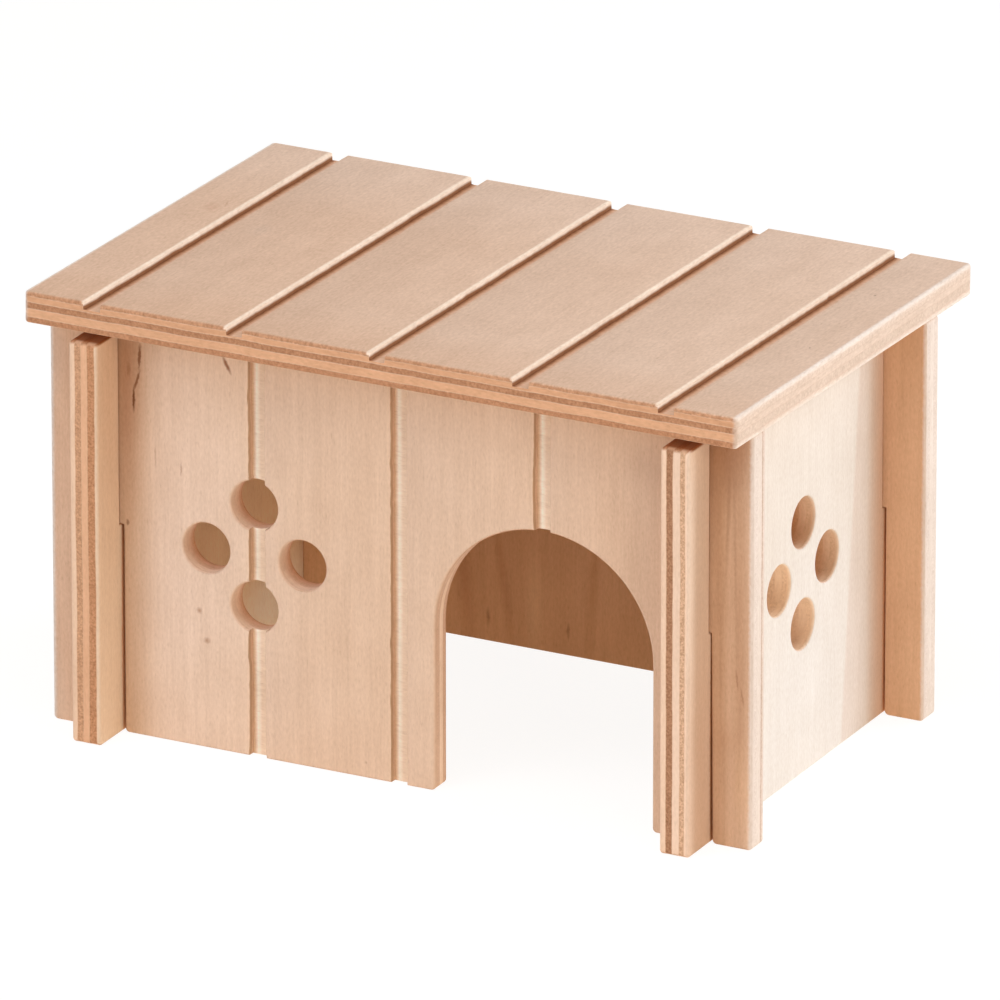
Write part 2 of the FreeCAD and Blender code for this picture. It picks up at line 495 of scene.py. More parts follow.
@dataclass(frozen=True)
class Board:
    """A sawn, routed and sanded plywood board that stands for one node of the frame."""

    node: str
    body: Body
    slot: Slot
    placement: Placement
    finish: "Plywood"
    lower: tuple[Notch, ...] = ()
    upper: tuple[Notch, ...] = ()
    holes: tuple[Hole, ...] = ()
    grooves: tuple[Groove, ...] = ()
    seed: int = 0
    arris: float = 0.45  # radius that sanding gives the edges of the outer face
    inner_arris: float = 0.45
    corner: float = 0.85  # radius of the outline's square corners
    step: float = 1.1  # length of a mesh side along a rim
    hole_steps: int = 40  # chords round a hole
    groove_step: float = 0.6
    overrun: float = 0.5  # how far the grooves' lines run past the board
    ring_shares: tuple[float, ...] = (0.134, 0.5, 1.0)  # where rings round the arris, in its radii
    last_ring: float = 0.35  # from the arris to one more ring
    raised_edge: float = 0.02  # how far the plies stand proud of each other at a sawn edge
    ply_step: float = 0.12  # half the height over which the edge goes from one ply to the next
    edge_margin: float = 0.02  # the share of the edge next to a face that has no step
    saw_cell: tuple[float, float] = (0.9, 0.7)
    crease: float = 38.0  # the angle past which an edge stays sharp

    def rims(self) -> list[np.ndarray]:
        """Walks round the board in its plan.

        Returns:
            The outline with its notches, with the wood on its left, and then the holes.
        """
        low, high = self.placement.low, self.placement.high
        corners = [np.array([(low.x, low.y)])]
        corners += [n.corners(low.y, 1) for n in sorted(self.lower, key=lambda n: n.centre)]
        corners.append(np.array([(high.x, low.y), (high.x, high.y)]))
        corners += [n.corners(high.y, -1)[::-1] for n in sorted(self.upper, key=lambda n: -n.centre)]
        corners.append(np.array([(low.x, high.y)]))
        turn = np.linspace(0, -2 * math.pi, self.hole_steps, endpoint=False)
        circle = np.column_stack((np.cos(turn), np.sin(turn)))
        holes = [np.array((hole.u, hole.v)) + hole.radius * circle for hole in self.holes]
        return [rounded(np.concatenate(corners), self.corner), *holes]

    def worn(self, distance: np.ndarray, radius: float) -> np.ndarray:
        """The drop of an arris of radius R at a distance d from the rim: R - sqrt(R^2 - (R - d)^2)."""
        inside = np.clip(radius - distance, 0, radius)
        return radius - np.sqrt(radius ** 2 - inside ** 2)

    def edge_rows(self, plan: Plan, outer: np.ndarray, inner: np.ndarray) -> tuple[np.ndarray, np.ndarray]:
        """The sawn edge, as rows of points between the outer and the inner rim.

        A row lies at a share of the way from the outer rim to the inner one, and is let in by the
        roughness that the saw left and by its ply, every other one of which stands back.

        Args:
            plan: The board's plan.
            outer: The depth of each point of the plan on the outer face.
            inner: The same on the inner face.
        Returns:
            The new points in metres, and the faces of the whole edge.
        """
        start, end = plan.rim_edges[:, 0], plan.rim_edges[:, 1]
        sides = unit(plan.points[end] - plan.points[start])
        normals = np.zeros_like(plan.points)
        left = np.column_stack((-sides[:, 1], sides[:, 0]))
        np.add.at(normals, start, left)
        np.add.at(normals, end, left)
        rim = np.unique(start)
        normal = unit(normals[rim])
        bounds = np.cumsum([p.thickness for p in self.finish.plies])[:-1]
        usable = self.placement.ply - self.arris - self.inner_arris
        level = np.sort(np.concatenate((bounds - self.ply_step, bounds + self.ply_step)))
        shares = np.clip((level - self.arris) / usable, self.edge_margin, 1 - self.edge_margin)
        standing_back = np.searchsorted(bounds, level) % 2
        rows = []
        place = plan.points[rim]
        for share, back in zip(shares, standing_back):
            depth = outer[rim] + share * (inner[rim] - outer[rim])
            along = depth + place[:, 0] - place[:, 1]
            rough = roughness_field(place.sum(axis=1), along, self.saw_cell, self.seed)
            # Half of it comes from the plies, and the other half from the saw.
            let_in = self.raised_edge * (0.5 * back + 0.25 + 0.25 * rough)
            rows.append(self.placement.lifted(place + normal * let_in[:, None], depth))
        count = len(plan.points)
        new_rows = [2 * count + k * len(rim) + np.arange(len(rim)) for k in range(len(rows))]
        chain = [rim, *new_rows, count + rim]
        a, b = np.searchsorted(rim, start), np.searchsorted(rim, end)
        quads = [np.column_stack((up[a], down[a], down[b], up[b])) for up, down in zip(chain, chain[1:])]
        return np.concatenate(rows), np.concatenate(quads)

    def note_holes(self, mesh: bpy.types.Mesh, points: np.ndarray) -> None:
        """Notes for the shader which points lie on the wall of a hole, and how pale it is.

        Args:
            mesh: The board's mesh, which takes an attribute for each.
            points: Its points, in metres in the house.
        """
        plan = points @ np.array(self.placement.axes)[:2].T / MM
        drilled, pale = np.zeros(len(points)), np.zeros(len(points))
        for hole in self.holes:
            wall = hole.reaches(plan)
            drilled[wall], pale[wall] = 1.0, hole.pale
        for name, values in (("drilled", drilled), ("pale", pale)):
            mesh.attributes.new(name, "FLOAT", "POINT").data.foreach_set("value", values)

    def build(self) -> bpy.types.Object:
        """Lifts the plan to the outer and the inner face, closes it with its edge and dresses it.

        Returns:
            The board, riding its body in the place of its node.
        """
        bottom, top = self.placement.low.y - self.overrun, self.placement.high.y + self.overrun
        bends = [line for groove in self.grooves for line in groove.lines(bottom, top, self.groove_step)]
        rings = (*(share * self.arris for share in self.ring_shares), self.arris + self.last_ring)
        plan = triangulated(self.rims(), bends, rings, self.step)
        worn = self.worn(plan.rim_distance, self.arris)
        outer = np.maximum.reduce([worn] + [g.cut(plan.points) for g in self.grooves])
        inner = self.placement.ply - self.worn(plan.rim_distance, self.inner_arris)
        edge_points, edge_faces = self.edge_rows(plan, outer, inner)
        points = [self.placement.lifted(plan.points, depth) for depth in (outer, inner)]
        points = np.concatenate([*points, edge_points])
        faces = [plan.triangles, plan.triangles[:, ::-1] + len(plan.points), edge_faces]
        shown = shown_mesh(f"{self.node}_plywood", points, faces, self.crease)
        self.note_holes(shown.data, points)
        shown.data.materials.append(self.finish.material(self.placement, self.seed))
        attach(shown, self.body.value)
        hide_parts(self.node)
        LOG.info("%s: %d points", shown.name, len(shown.data.vertices))
        return shown


# ---------------------------------------------------------------------------------------------
# Finishes
# ---------------------------------------------------------------------------------------------

Tree, Node, Socket = bpy.types.NodeTree, bpy.types.Node, bpy.types.NodeSocket
Inputs = dict[int | str, object] | tuple[object, ...]
Span = tuple[float, float]  # where a change begins, and where it ends
Grain = tuple[float, float, float]  # how many grains lie in a unit of each axis
FULL_HEIGHT = 4000.0  # of a mark that is even over a board's whole height


def add_node(tree: Tree, kind: str, inputs: Inputs = (), **settings: object) -> Node:
    """Adds one node, with its settings and what feeds it.

    Args:
        tree: The tree it goes into.
        kind: What Blender calls the node, after ShaderNode.
        inputs: The node's first inputs in their order, or some of them by name or number. Each is a
            value, or the output or the node that feeds it. A node feeds the first output that it
            has in use.
        settings: The node's own properties.
    Returns:
        The node.
    """
    node = tree.nodes.new(f"ShaderNode{kind}")
    for name, value in settings.items():
        setattr(node, name, value)
    keyed = inputs if isinstance(inputs, dict) else dict(enumerate(inputs))
    for key, value in keyed.items():
        if isinstance(value, Node):
            value = next(output for output in value.outputs if output.enabled)
        if isinstance(value, Socket):
            tree.links.new(value, node.inputs[key])
        else:
            node.inputs[key].default_value = value
    return node


def where_all(tree: Tree, *conditions: tuple[object, ...]) -> Node:
    """How far all conditions hold at once: the product of their shares.

    Args:
        tree: The tree it goes into.
        conditions: For each a value, where it begins and ends to hold, and, if they aren't 0 and 1,
            its shares there.
    Returns:
        The product.
    """
    product, *others = (add_node(tree, "MapRange", condition) for condition in conditions)
    for share in others:
        product = add_node(tree, "Math", (product, share), operation="MULTIPLY")
    return product


def grained(tree: Tree, place: object, grain: Grain, detail: float, shift: Grain = (0, 0, 0)) -> Node:
    """Noise from 0 to 1, stretched to the given grain and shifted by a number of grains."""
    stretched = add_node(tree, "Mapping", {"Vector": place, "Scale": grain, "Location": shift})
    return add_node(tree, "TexNoise", {"Vector": stretched, "Scale": 1.0, "Detail": detail})


def new_material(name: str) -> tuple[bpy.types.Material, Tree]:
    """Makes an empty node material.

    Args:
        name: Its name.
    Returns:
        The material and its tree.
    """
    material = bpy.data.materials.new(name)
    material.use_nodes = True
    material.node_tree.nodes.clear()
    return material, material.node_tree


@dataclass(frozen=True)
class Ply:
    """One layer of the plywood, from the outer face inwards."""

    thickness: float
    lengthwise: str  # colour where its fibres lie in the surface
    cut: str  # colour where they are cut across


@dataclass(frozen=True)
class Mark:
    """A knot, crack, speck, patch of another tone, or patch of painted light or shade: an ellipsoid in the
    board.
    """

    u: float  # its middle, from the middle of the board's width
    v: float  # and from the board's lower edge
    width: float
    height: float
    strength: float = 0.8
    colour: str = "#6E4226"
    core: float = 0.5  # the share of its radii within which it is at full strength
    lean: float = 0.0  # clockwise, in degrees
    w: float = 0.0  # 0 on the outer face, and less inside
    deep: float = 0.6  # how far it reaches from there along W


@dataclass(frozen=True)
class Surface:
    """What a board's shader knows about the point that it colours, in the board's own directions."""

    tree: Tree
    placement: Placement
    board: Socket  # U, V and W in millimetres, W counted from the outer face
    place: bpy.types.NodeOutputs  # the same, one by one
    facing: bpy.types.NodeOutputs  # how squarely the surface faces U, V and W, from 0 to 1

    @classmethod
    def of_board(cls, tree: Tree, placement: Placement) -> "Surface":
        """Turns the object's coordinates and normal into the board's directions.

        Args:
            tree: The tree it goes into.
            placement: How the board stands.
        Returns:
            The point.
        """
        source = add_node(tree, "TexCoord").outputs
        turn = placement.axes.to_euler()
        board = add_node(tree, "Mapping", {
            "Vector": source["Object"], "Rotation": turn, "Scale": (1 / MM,) * 3,
            "Location": (0, 0, -placement.high.z),
        }).outputs[0]
        facing = add_node(
            tree, "Mapping", {"Vector": source["Normal"], "Rotation": turn}, vector_type="VECTOR"
        )
        facing = add_node(tree, "VectorMath", (facing,), operation="ABSOLUTE").outputs[0]
        parts = [add_node(tree, "SeparateXYZ", (vector,)).outputs for vector in (board, facing)]
        return cls(tree, placement, board, *parts)


@dataclass(frozen=True)
class RoutedTones:
    """What the router leaves, with the light and shade in the grooves painted in: a floor of torn fibres,
    painted dark as shadow next to its left side and bright where light reaches it; sides that the
    cutter has smoothed, their tone from the face to the floor painted for their light and shade; a left
    lip painted pale as a highlight; and torn fibres on the right lip.

    Places are counted in millimetres: those across from the groove's middle to the right, and those
    along W from the outer face. In a span the change begins at the first place and ends at the second.
    """

    # Colours across the floor, each with its place: darker by the left side as painted shadow, and bright
    # beyond as painted light on the torn fibres.
    floor: tuple[tuple[float, str], ...] = (
        (-1.7, "#E0BD9C"), (-1.45, "#EBCBA9"), (-1.15, "#F7DDC5"), (-0.75, "#FFF4E2"), (-0.35, "#FFECD5"),
        (0.1, "#F8DCBF"),
    )
    floor_reach: float = 2.0  # the colours' places lie within this, across
    floor_begins: Span = (-0.9, -1.3)  # along W
    floor_level: Span = (0.8, 0.95)  # how squarely the floor faces W
    routed_plies: Span = (-2.4, -2.1)  # along W
    side: tuple[str, str] = ("#AE8A6C", "#D0AC8F")  # near the face, and near the floor, painted for the light and shade on the side
    side_reach: Span = (2.9, 2.5)  # across, to either side
    side_steep: Span = (0.3, 0.6)  # how squarely a side faces U
    side_change: Span = (-0.6, -1.1)  # along W
    left_lip_highlight: tuple[float, str] = (0.2, "#F2CFAE")  # how far the left lip takes a pale tone, a painted highlight
    lip_highlight_begins: Span = (-2.4, -2.0)  # across
    lip_highlight_ends: Span = (-0.5, -1.0)  # across
    lip_highlight_face: Span = (-0.7, -0.4)  # along W
    torn: float = 0.0  # how much of the floor's last tone the torn fibres leave on the right lip
    torn_grain: Grain = (1.1, 0.6, 0.33)  # grains in a millimetre of U, V and W
    torn_wander: float = 3.4  # how far the torn fibres' place wanders, across
    torn_begins: Span = (3.0, 3.3)  # across
    torn_ends: Span = (4.2, 3.5)  # across
    torn_face: Span = (-1.4, -0.6)  # along W

    def over(self, s: Surface, wood: Node) -> tuple[Node, Node]:
        """Colours the floors, the sides and the lips of the grooves, with their light and shade painted in.

        Args:
            s: The point that is coloured.
            wood: The colour without them.
        Returns:
            The colour with them, and 1 on a groove's side.
        """
        tree, half = s.tree, GROOVE_PITCH / 2
        across = add_node(tree, "Math", (s.place[0], half, -half), operation="WRAP")
        near = add_node(tree, "Math", (across,), operation="ABSOLUTE")
        begun = (s.place[2], *self.floor_begins)
        in_plies = (s.place[2], *self.routed_plies)
        on_floor = where_all(tree, begun, (s.facing[2], *self.floor_level), in_plies)
        on_side = where_all(tree, (near, *self.side_reach), (s.facing[0], *self.side_steep), in_plies)
        low = add_node(tree, "MapRange", (s.place[2], *self.side_change))
        upper, lower = (linear(colour) for colour in self.side)
        side = add_node(tree, "Mix", {0: low, 6: upper, 7: lower}, data_type="RGBA")
        strength, lip_highlight_tone = self.left_lip_highlight
        left_lip_highlight = where_all(
            tree, (across, *self.lip_highlight_begins, 0.0, strength), (across, *self.lip_highlight_ends),
            (s.place[2], *self.lip_highlight_face),
        )
        layers = [(on_floor, self.floor_colour(tree, across)), (on_side, side), (left_lip_highlight, linear(lip_highlight_tone))]
        if self.torn:
            ragged = grained(tree, s.board, self.torn_grain, detail=3.0)
            moved = add_node(tree, "Math", (ragged, self.torn_wander, across), operation="MULTIPLY_ADD")
            torn_lip = where_all(
                tree, (moved, *self.torn_begins, 0.0, self.torn), (moved, *self.torn_ends),
                (s.place[2], *self.torn_face),
            )
            layers.append((torn_lip, linear(self.floor[-1][1])))
        for share, colour in layers:
            wood = add_node(tree, "Mix", {0: share, 6: wood, 7: colour}, data_type="RGBA")
        return wood, on_side

    def floor_colour(self, tree: Tree, across: Node) -> Node:
        """The floor's colours, from the left to the right.

        Args:
            tree: The tree it goes into.
            across: The place across the groove.
        Returns:
            The colour there.
        """
        reach = self.floor_reach
        ramp = add_node(tree, "ValToRGB", (add_node(tree, "MapRange", (across, -reach, reach)),))
        stops = ramp.color_ramp.elements
        for number, (place, colour) in enumerate(self.floor):
            share = (place + reach) / (2 * reach)
            element = stops[0] if number == 0 else stops.new(share)
            element.position, element.color = share, linear(colour)
        stops.remove(stops[len(self.floor)])
        return ramp


@dataclass(frozen=True)
class Plywood:
    """Rotary-cut birch plywood, sawn, routed, drilled and sanded, with no varnish.

    Sanding leaves the faces pale, matt and a little furry, with faint streaks and short pores along
    the grain. At the sawn edges every other ply is cut across its fibres, which swallows light, so
    that the edge is striped. The router tears the second ply into a fibrous floor. The drill rubs
    the plies of a hole to nearly one tone.
    """

    name: str
    plies: tuple[Ply, ...]
    routed: RoutedTones | None = None
    marks: tuple[Mark, ...] = ()
    mark_fade: float = 0.4  # how far a mark without a core reaches past its radii, in shares of them
    mark_cells: float = 1.3  # ragged places in a millimetre of a mark's rim
    mark_ragged: float = 0.5  # how far such a place shifts the rim
    blend: float = 0.15  # how far a sawn ply is smeared over the next one
    sway: float = 0.45  # how far a ply wanders from its place
    sway_cell: float = 9.0
    sway_begins: Span = (0.0, -0.6)  # along W, so that the outer faces stay in their own plies
    cut_facing: Span = (0.3, 0.85)  # how squarely a surface cuts fibres that count as cut
    # Grain width, length and share of the tone for each layer of figure. Fibres and pores are really
    # 0.02 to 0.1 mm wide, and are drawn as coarse as the eye sees them.
    figure: tuple[tuple[float, float, float], ...] = (
        (11.0, 120.0, 0.08), (8.0, 11.0, 0.08), (1.6, 40.0, 0.10), (0.5, 12.0, 0.09),
    )
    figure_step: tuple[float, float] = (17.3, 5.1)  # from one seed's to the next one's, across and along
    pores: tuple[float, float, float] = (0.28, 1.6, 0.12)
    pore_levels: Span = (0.60, 0.78)  # the noise where a pore begins, and where it is full
    pore_step: float = 9.7  # the same, across
    pore_shift: float = 3.3  # how far they all lie along the grain
    speckle: tuple[float, float, float] = (0.42, 0.14, 0.65)  # size, strength on faces, and on cut fibres
    speckle_stretch: float = 0.4
    warmth: tuple[float, float, float] = (0.8, 1.0, 1.2)  # how far red, green and blue follow the tone
    drilled: tuple[str, str] = ("#E6C8AF", "#DBA47E")  # a hole's wall at the outer face and inside: the darker inside is painted shade deeper in the hole
    drilled_change: Span = (-0.2, -0.9)  # along W, in thicknesses of the board
    drilled_share: float = 0.8
    drilled_smear: float = 0.75  # how much of the speckle the drill took off
    drilled_pale: str = "#FFE2C0"  # the colour that the pale part of a hole's wall takes
    painted_wash_on_ends: float = 0.0  # how much of the speckle comes off the upright ends, a painted wash of the key light on the lit one
    upper_end_and_shade: str = "#C08D68"  # colour of the end grain that faces up, which on the side panels is painted shade, since their tops lie in the dark gap under the roof
    upper_begins: Span = (-0.4, -0.1)  # from the board's upper end
    upper_share: float = 0.9
    upper_end_reach: Span = (-0.5, -1.6)  # from either side of the board: the upper end's colour covers all of the top but its last millimetre or so, which on the side panels sticks out of the shade under the roof
    upper_tip_share: float = 0.25
    rough: Span = (0.6, 0.75)
    relief: float = 0.03
    fuzz: float = 0.04  # raised fibres, which whiten sanded wood seen at a slant
    gloss: float = 0.2  # bare fibres scatter nearly all light

    def stops(self, ramp: bpy.types.ColorRamp, colours: list[str]) -> None:
        """Fills a colour ramp that runs through the board's thickness.

        Args:
            ramp: The ramp. Its alpha tells the plies whose grain runs across the board.
            colours: One colour for each ply.
        """
        total = sum(p.thickness for p in self.plies)
        depth = 0.0
        for number, (ply, colour) in enumerate(zip(self.plies, colours)):
            for edge in (depth + self.blend, depth + ply.thickness - self.blend):
                ramp.elements.new(edge / total).color = (*linear(colour)[:3], number % 2)
            depth += ply.thickness
        # A new ramp's own two ends go.
        ramp.elements.remove(ramp.elements[0])
        ramp.elements.remove(ramp.elements[len(ramp.elements) - 1])

    def layered(self, s: Surface) -> tuple[Node, Socket, Node]:
        """The plies' own colours.

        Args:
            s: The point that is coloured.
        Returns:
            The colour, 1 in plies whose grain runs across the board, and how far fibres are cut.
        """
        tree = s.tree
        sway = add_node(tree, "TexNoise", {"Vector": s.board, "Scale": 1 / self.sway_cell, "Detail": 3.0})
        sway = add_node(tree, "MapRange", {0: sway, 3: -self.sway / 2, 4: self.sway / 2})
        inside = add_node(tree, "MapRange", (s.place[2], *self.sway_begins))
        sway = add_node(tree, "Math", (sway, inside), operation="MULTIPLY")
        depth = add_node(tree, "Math", (sway, s.place[2]), operation="SUBTRACT")
        through = add_node(tree, "Math", (depth, s.placement.ply), operation="DIVIDE")
        lengthwise, cut = (add_node(tree, "ValToRGB", (through,)) for _ in range(2))
        self.stops(lengthwise.color_ramp, [p.lengthwise for p in self.plies])
        self.stops(cut.color_ramp, [p.cut for p in self.plies])
        crosswise = lengthwise.outputs["Alpha"]
        end_grain = add_node(tree, "Mix", {0: crosswise, 2: s.facing[1], 3: s.facing[0]})
        end_grain = add_node(tree, "MapRange", (end_grain, *self.cut_facing))
        wood = add_node(tree, "Mix", {0: end_grain, 6: lengthwise, 7: cut}, data_type="RGBA")
        return wood, crosswise, end_grain

    def drilled_and_sawn(self, s: Surface, wood: Node, in_hole: Socket) -> Node:
        """Colours the walls of the holes, darker inwards as painted shade, and the upper ends, whose colour
        on the side panels is painted shade under the roof.

        Args:
            s: The point that is coloured.
            wood: The colour without them.
            in_hole: 1 on the wall of a hole.
        Returns:
            The colour with them.
        """
        tree = s.tree
        rim, inside = (linear(colour) for colour in self.drilled)
        change = [share * s.placement.ply for share in self.drilled_change]
        inwards = add_node(tree, "MapRange", (s.place[2], *change))
        rubbed_and_shaded = add_node(tree, "Mix", {0: inwards, 6: rim, 7: inside}, data_type="RGBA")
        pale = add_node(tree, "Attribute", attribute_name="pale").outputs["Fac"]
        rubbed_and_shaded = add_node(tree, "Mix", {0: pale, 6: rubbed_and_shaded, 7: linear(self.drilled_pale)}, data_type="RGBA")
        share = add_node(tree, "Math", (in_hole, self.drilled_share), operation="MULTIPLY")
        wood = add_node(tree, "Mix", {0: share, 6: wood, 7: rubbed_and_shaded}, data_type="RGBA")
        low, high = s.placement.low, s.placement.high
        to_end = add_node(tree, "Math", (s.place[0], s.placement.middle), operation="SUBTRACT")
        to_end = add_node(tree, "Math", (to_end,), operation="ABSOLUTE")
        upper = [high.y + place for place in self.upper_begins]
        tips = [(high.x - low.x) / 2 + place for place in self.upper_end_reach]
        on_top = where_all(
            tree, (s.place[1], *upper, 0.0, self.upper_share), (to_end, *tips, self.upper_tip_share, 1.0)
        )
        return add_node(tree, "Mix", {0: on_top, 6: wood, 7: linear(self.upper_end_and_shade)}, data_type="RGBA")

    def toned(self, s: Surface, crosswise: Socket, speckled: Node, seed: int) -> tuple[Node, Node, Node]:
        """The figure, which runs along V, and along U in the crosswise plies.

        Args:
            s: The point that is coloured.
            crosswise: 1 in plies whose grain runs across the board.
            speckled: How far cut fibres speckle it.
            seed: Moves the figure.
        Returns:
            The change of tone, its finest layer of fibres, and the relief of the surface.
        """
        tree = s.tree
        turned = add_node(tree, "CombineXYZ", (s.place[1], s.place[0], s.place[2]))
        turns = add_node(tree, "Math", (crosswise, 0.5), operation="GREATER_THAN")
        grain = add_node(tree, "Mix", {0: turns, 4: s.board, 5: turned}, data_type="VECTOR")
        tone = fibres = 0.0
        across, along = self.figure_step
        for number, (width, length, share) in enumerate(self.figure):
            shift = (across * seed + number, along * seed, 0)
            fibres = grained(tree, grain, (1 / width, 1 / length, 1 / width), detail=3.0, shift=shift)
            layer = add_node(tree, "MapRange", {0: fibres, 3: -share, 4: share})
            tone = add_node(tree, "Math", (layer, tone))
        width, length, share = self.pores
        shift = (self.pore_step * seed, self.pore_shift, 0)
        pores = grained(tree, grain, (1 / width, 1 / length, 1 / width), detail=1.0, shift=shift)
        pores = add_node(tree, "MapRange", (pores, *self.pore_levels, 0.0, -share))
        tone = add_node(tree, "Math", (tone, pores))
        size, on_face, on_cut = self.speckle
        dots = grained(tree, grain, (1 / size, self.speckle_stretch / size, 1 / size), detail=2.0)
        dots = add_node(tree, "MapRange", {0: dots, 3: -1.0, 4: 1.0})
        strength = add_node(tree, "MapRange", {0: speckled, 3: on_face, 4: on_cut})
        dots = add_node(tree, "Math", (dots, strength), operation="MULTIPLY")
        height = add_node(tree, "Math", (fibres, dots))
        return add_node(tree, "Math", (tone, dots)), fibres, height

    def marked(self, s: Surface, wood: Node) -> Node:
        """Lays the marks over the wood.

        Args:
            s: The point that is coloured.
            wood: The colour without marks.
        Returns:
            The colour with them.
        """
        tree, placement, ragged, fade = s.tree, s.placement, self.mark_ragged, self.mark_fade
        noise = add_node(tree, "TexNoise", {"Vector": s.board, "Scale": self.mark_cells, "Detail": 2.0})
        moved = add_node(
            tree, "VectorMath", (noise.outputs["Color"], (ragged,) * 3, (-ragged / 2,) * 3),
            operation="MULTIPLY_ADD",
        )
        moved = add_node(tree, "VectorMath", (s.board, moved))
        for mark in self.marks:
            seen = add_node(tree, "Mapping", {
                "Vector": moved,
                "Location": (placement.middle + mark.u, placement.low.y + mark.v, mark.w),
                "Rotation": (0, 0, math.radians(-mark.lean)),
                "Scale": (mark.width / 2, mark.height / 2, mark.deep),
            }, vector_type="TEXTURE")
            far = add_node(tree, "VectorMath", (seen,), operation="LENGTH")
            rim = 1 + fade * (1 - mark.core)
            share = add_node(tree, "MapRange", (far, rim, mark.core, 0.0, mark.strength))
            wood = add_node(tree, "Mix", {0: share, 6: wood, 7: linear(mark.colour)}, data_type="RGBA")
        return wood

    def material(self, placement: Placement, seed: int) -> bpy.types.Material:
        """Makes the material for a board.

        Args:
            placement: Where the board stands.
            seed: Moves the figure, so that no two boards are alike.
        Returns:
            The material.
        """
        material, tree = new_material(f"{self.name}_{seed}")
        s = Surface.of_board(tree, placement)
        wood, crosswise, end_grain = self.layered(s)
        in_hole = add_node(tree, "Attribute", attribute_name="drilled").outputs["Fac"]
        wood, on_side = self.drilled_and_sawn(s, self.marked(s, wood), in_hole), 0.0
        if self.routed:
            wood, on_side = self.routed.over(s, wood)
        # The drill and the router smear the cut fibres, and the upright ends lose speckle as a painted wash
        # of the key light.
        smeared = add_node(tree, "Math", (in_hole, self.drilled_smear, on_side), operation="MULTIPLY_ADD")
        smeared = add_node(
            tree, "Math", (s.facing[0], self.painted_wash_on_ends, smeared), operation="MULTIPLY_ADD"
        )
        speckled = add_node(tree, "Math", (end_grain, smeared), operation="SUBTRACT", use_clamp=True)
        tone, fibres, height = self.toned(s, crosswise, speckled, seed)
        # A darker tone of wood is also a warmer one, so blue changes more than red.
        gain = add_node(tree, "VectorMath", (tone, self.warmth, (1, 1, 1)), operation="MULTIPLY_ADD")
        wood = add_node(tree, "Mix", {0: 1.0, 6: wood, 7: gain}, data_type="RGBA", blend_type="MULTIPLY")
        bump = add_node(tree, "Bump", {"Height": height, "Strength": 0.6, "Distance": self.relief * MM})
        shader = add_node(tree, "BsdfPrincipled", {
            "Base Color": wood, "Normal": bump, "Specular IOR Level": self.gloss,
            "Sheen Weight": self.fuzz, "Sheen Roughness": 0.5,
            "Roughness": add_node(tree, "MapRange", {0: fibres, 3: self.rough[0], 4: self.rough[1]}),
        })
        add_node(tree, "OutputMaterial", {"Surface": shader})
        return material


@dataclass(frozen=True)
class PlanedPine:
    """Planed pine strip: early and late wood show as soft bands along the strip, under fine fibres."""

    early: str = "#E2BE92"
    late: str = "#C28F5A"
    ring: float = 2.2  # one year's growth
    ring_tilt: float = 0.6  # how steeply the rings cross the strip
    ring_edge: Span = (-0.2, 1.0)  # the levels of the wave of rings where late wood begins and is full
    wander: float = 4.8  # how far the rings wander
    wander_grain: Grain = (0.25, 0.03, 0.25)  # waves in a millimetre of X, Y and Z
    fibre_grain: Grain = (4.0, 0.25, 4.0)
    fibre_share: float = 0.5
    rough: Span = (0.5, 0.65)
    relief: float = 0.04

    def material(self) -> bpy.types.Material:
        """Makes the material, with the grain along Y.

        Returns:
            The material.
        """
        material, tree = new_material("planed_pine")
        source = add_node(tree, "TexCoord").outputs["Object"]
        place = add_node(tree, "Mapping", {"Vector": source, "Scale": (1 / MM,) * 3})
        sway = grained(tree, place, self.wander_grain, detail=2.0)
        offset = add_node(tree, "SeparateXYZ", (place,)).outputs
        phase = add_node(tree, "Math", (offset[2], self.ring_tilt, offset[0]), operation="MULTIPLY_ADD")
        phase = add_node(tree, "Math", (sway, self.wander, phase), operation="MULTIPLY_ADD")
        phase = add_node(tree, "Math", (phase, math.tau / self.ring), operation="MULTIPLY")
        rings = add_node(tree, "Math", (phase,), operation="SINE")
        rings = add_node(tree, "MapRange", (rings, *self.ring_edge), interpolation_type="SMOOTHSTEP")
        fibres = grained(tree, place, self.fibre_grain, detail=3.0)
        late = add_node(
            tree, "Math", (fibres, self.fibre_share, -self.fibre_share / 2), operation="MULTIPLY_ADD"
        )
        late = add_node(tree, "Math", (rings, late), use_clamp=True)
        wood = add_node(
            tree, "Mix", {0: late, 6: linear(self.early), 7: linear(self.late)}, data_type="RGBA"
        )
        bump = add_node(tree, "Bump", {"Height": fibres, "Strength": 0.5, "Distance": self.relief * MM})
        rough = add_node(tree, "MapRange", {0: late, 3: self.rough[0], 4: self.rough[1]})
        shader = add_node(tree, "BsdfPrincipled", {"Base Color": wood, "Roughness": rough, "Normal": bump})
        add_node(tree, "OutputMaterial", {"Surface": shader})
        return material


